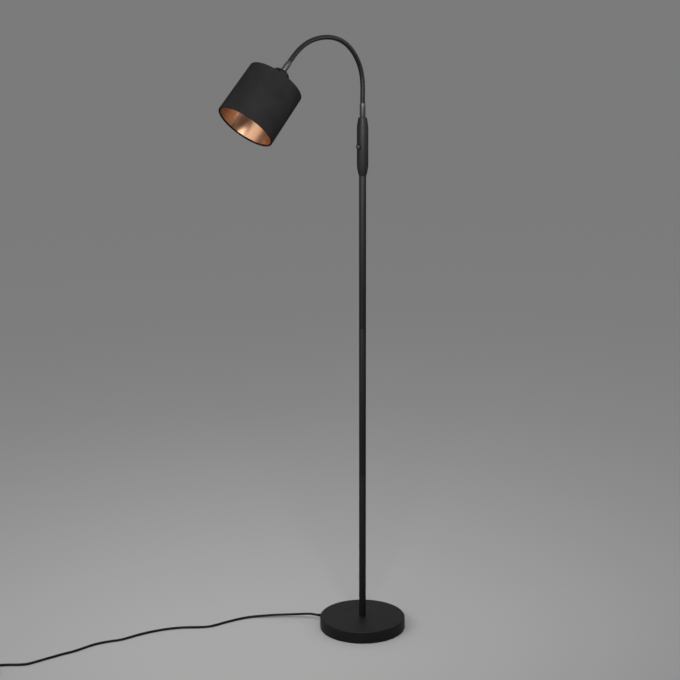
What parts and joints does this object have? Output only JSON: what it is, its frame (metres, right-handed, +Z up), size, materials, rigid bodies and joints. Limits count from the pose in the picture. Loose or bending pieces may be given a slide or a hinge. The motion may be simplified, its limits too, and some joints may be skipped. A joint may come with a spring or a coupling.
{
  "type": "floor lamp",
  "caption": "Slim floor lamp: round weighted base, straight pole with a push switch in its grip, bending gooseneck neck and a small drum shade lined with copper foil.",
  "frame": {"origin": "on the pole's axis, at the base's underside, where the foam pad meets the floor", "axes": "+Z up the pole; the gooseneck arches towards -X in the XZ plane; +Y completes the right-handed frame"},
  "size_m": [1.0057, 0.5046, 1.3763],
  "materials": {
    "powder_coat": "matte black powder coat on steel",
    "cast_weight": "as cast, tumbled",
    "zinc_steel": "zinc plated",
    "brass": "satin brass",
    "foam_pad": "closed-cell foam, matte",
    "neck_sleeve": "smooth extruded sleeve, satin black",
    "black_plastic": "fine moulded black thermoplastic",
    "switch_plastic": "satin dark grey moulded plastic",
    "ceramic_insert": "glazed white steatite",
    "cord_sheath": "smooth black vinyl sheath",
    "shade_cloth": "plain woven black cloth",
    "foil_lining": "rose copper foil laminated on styrene",
    "frame_wire": "black coated wire"
  },
  "bodies": {
    "stand": {"base_pad": "foam_pad", "base_plate": "zinc_steel", "plate_screws": "zinc_steel", "base_weight": "cast_weight", "base_cover": "powder_coat", "anchor_rod": "brass", "anchor_washer": "zinc_steel", "anchor_nut": "zinc_steel", "cord_bushing": "cord_sheath", "cord_clamp": "black_plastic", "clamp_screws": "zinc_steel", "supply_lead": "cord_sheath", "pole_foot_bush": "zinc_steel", "pole_lower": "powder_coat", "pole_joiner_1": "zinc_steel", "pole_middle": "powder_coat", "pole_joiner_2": "zinc_steel", "pole_upper": "powder_coat", "grip_bottom_cap": "powder_coat", "grip_body": "powder_coat", "grip_top_cap": "powder_coat", "switch_body": "switch_plastic", "switch_collar": "switch_plastic", "neck_ferrule_lower": "powder_coat", "neck_locknut": "zinc_steel", "neck_lead": "cord_sheath", "neck_link_01": "neck_sleeve", "cord_run": "cord_sheath", "cord_coil": "cord_sheath", "cord_tie": "cord_sheath", "cord_tail": "cord_sheath", "plug_body": "cord_sheath", "plug_pins": "brass"},
    "button": {"switch_button": "switch_plastic"},
    "neck_02": {"neck_link_02": "neck_sleeve"},
    "neck_03": {"neck_link_03": "neck_sleeve"},
    "neck_04": {"neck_link_04": "neck_sleeve"},
    "neck_05": {"neck_link_05": "neck_sleeve"},
    "neck_06": {"neck_link_06": "neck_sleeve"},
    "neck_07": {"neck_link_07": "neck_sleeve"},
    "neck_08": {"neck_link_08": "neck_sleeve"},
    "neck_09": {"neck_link_09": "neck_sleeve"},
    "neck_10": {"neck_link_10": "neck_sleeve"},
    "neck_11": {"neck_link_11": "neck_sleeve"},
    "head": {"neck_link_12": "neck_sleeve", "neck_ferrule_upper": "powder_coat", "holder_cap": "black_plastic", "holder_insert": "ceramic_insert", "holder_skirt": "black_plastic", "screw_shell": "brass", "centre_contact": "brass", "shade_clamp_ring": "black_plastic", "shade_frame": "frame_wire", "shade_bottom_ring": "frame_wire", "shade_fabric": "shade_cloth", "shade_liner": "foil_lining"}
  },
  "joints": [
    {"name": "switch_push", "type": "slide", "parent": "stand", "child": "button", "axis": [0.9848, 0.1736, 0], "range_m": [0, 0.002], "stiffness_N_per_m": 500, "springref_m": -0.002},
    {"name": "neck_bend_01", "type": "hinge", "parent": "stand", "child": "neck_02", "pos_m": [0.00023, 0, 1.255], "axis": [0, -1, 0], "range_deg": [-25, 6], "deforming": ["neck_lead"]},
    {"name": "neck_sway_02", "type": "hinge", "parent": "neck_02", "child": "neck_03", "pos_m": [-0.00102, 0, 1.28095], "axis": [0.9936, 0, 0.1132], "range_deg": [-15, 15]},
    {"name": "neck_bend_03", "type": "hinge", "parent": "neck_03", "child": "neck_04", "pos_m": [-0.00696, 0, 1.3062], "axis": [0, -1, 0], "range_deg": [-25, 6]},
    {"name": "neck_sway_04", "type": "hinge", "parent": "neck_04", "child": "neck_05", "pos_m": [-0.01864, 0, 1.32936], "axis": [0.8339, 0, 0.5519], "range_deg": [-15, 15]},
    {"name": "neck_bend_05", "type": "hinge", "parent": "neck_05", "child": "neck_06", "pos_m": [-0.03557, 0, 1.34901], "axis": [0, -1, 0], "range_deg": [-25, 6]},
    {"name": "neck_sway_06", "type": "hinge", "parent": "neck_06", "child": "neck_07", "pos_m": [-0.05728, 0, 1.36311], "axis": [0.4067, 0, 0.9135], "range_deg": [-15, 15]},
    {"name": "neck_bend_07", "type": "hinge", "parent": "neck_07", "child": "neck_08", "pos_m": [-0.08222, 0, 1.37014], "axis": [0, -1, 0], "range_deg": [-25, 6]},
    {"name": "neck_sway_08", "type": "hinge", "parent": "neck_08", "child": "neck_09", "pos_m": [-0.10816, 0, 1.3706], "axis": [-0.0958, 0, 0.9954], "range_deg": [-15, 15]},
    {"name": "neck_bend_09", "type": "hinge", "parent": "neck_09", "child": "neck_10", "pos_m": [-0.13359, 0, 1.36542], "axis": [0, -1, 0], "range_deg": [-25, 6]},
    {"name": "neck_sway_10", "type": "hinge", "parent": "neck_10", "child": "neck_11", "pos_m": [-0.15719, 0, 1.35467], "axis": [-0.5225, 0, 0.8526], "range_deg": [-15, 15]},
    {"name": "neck_bend_11", "type": "hinge", "parent": "neck_11", "child": "head", "pos_m": [-0.17764, 0, 1.33869], "axis": [0, -1, 0], "range_deg": [-25, 6]}
  ]
}
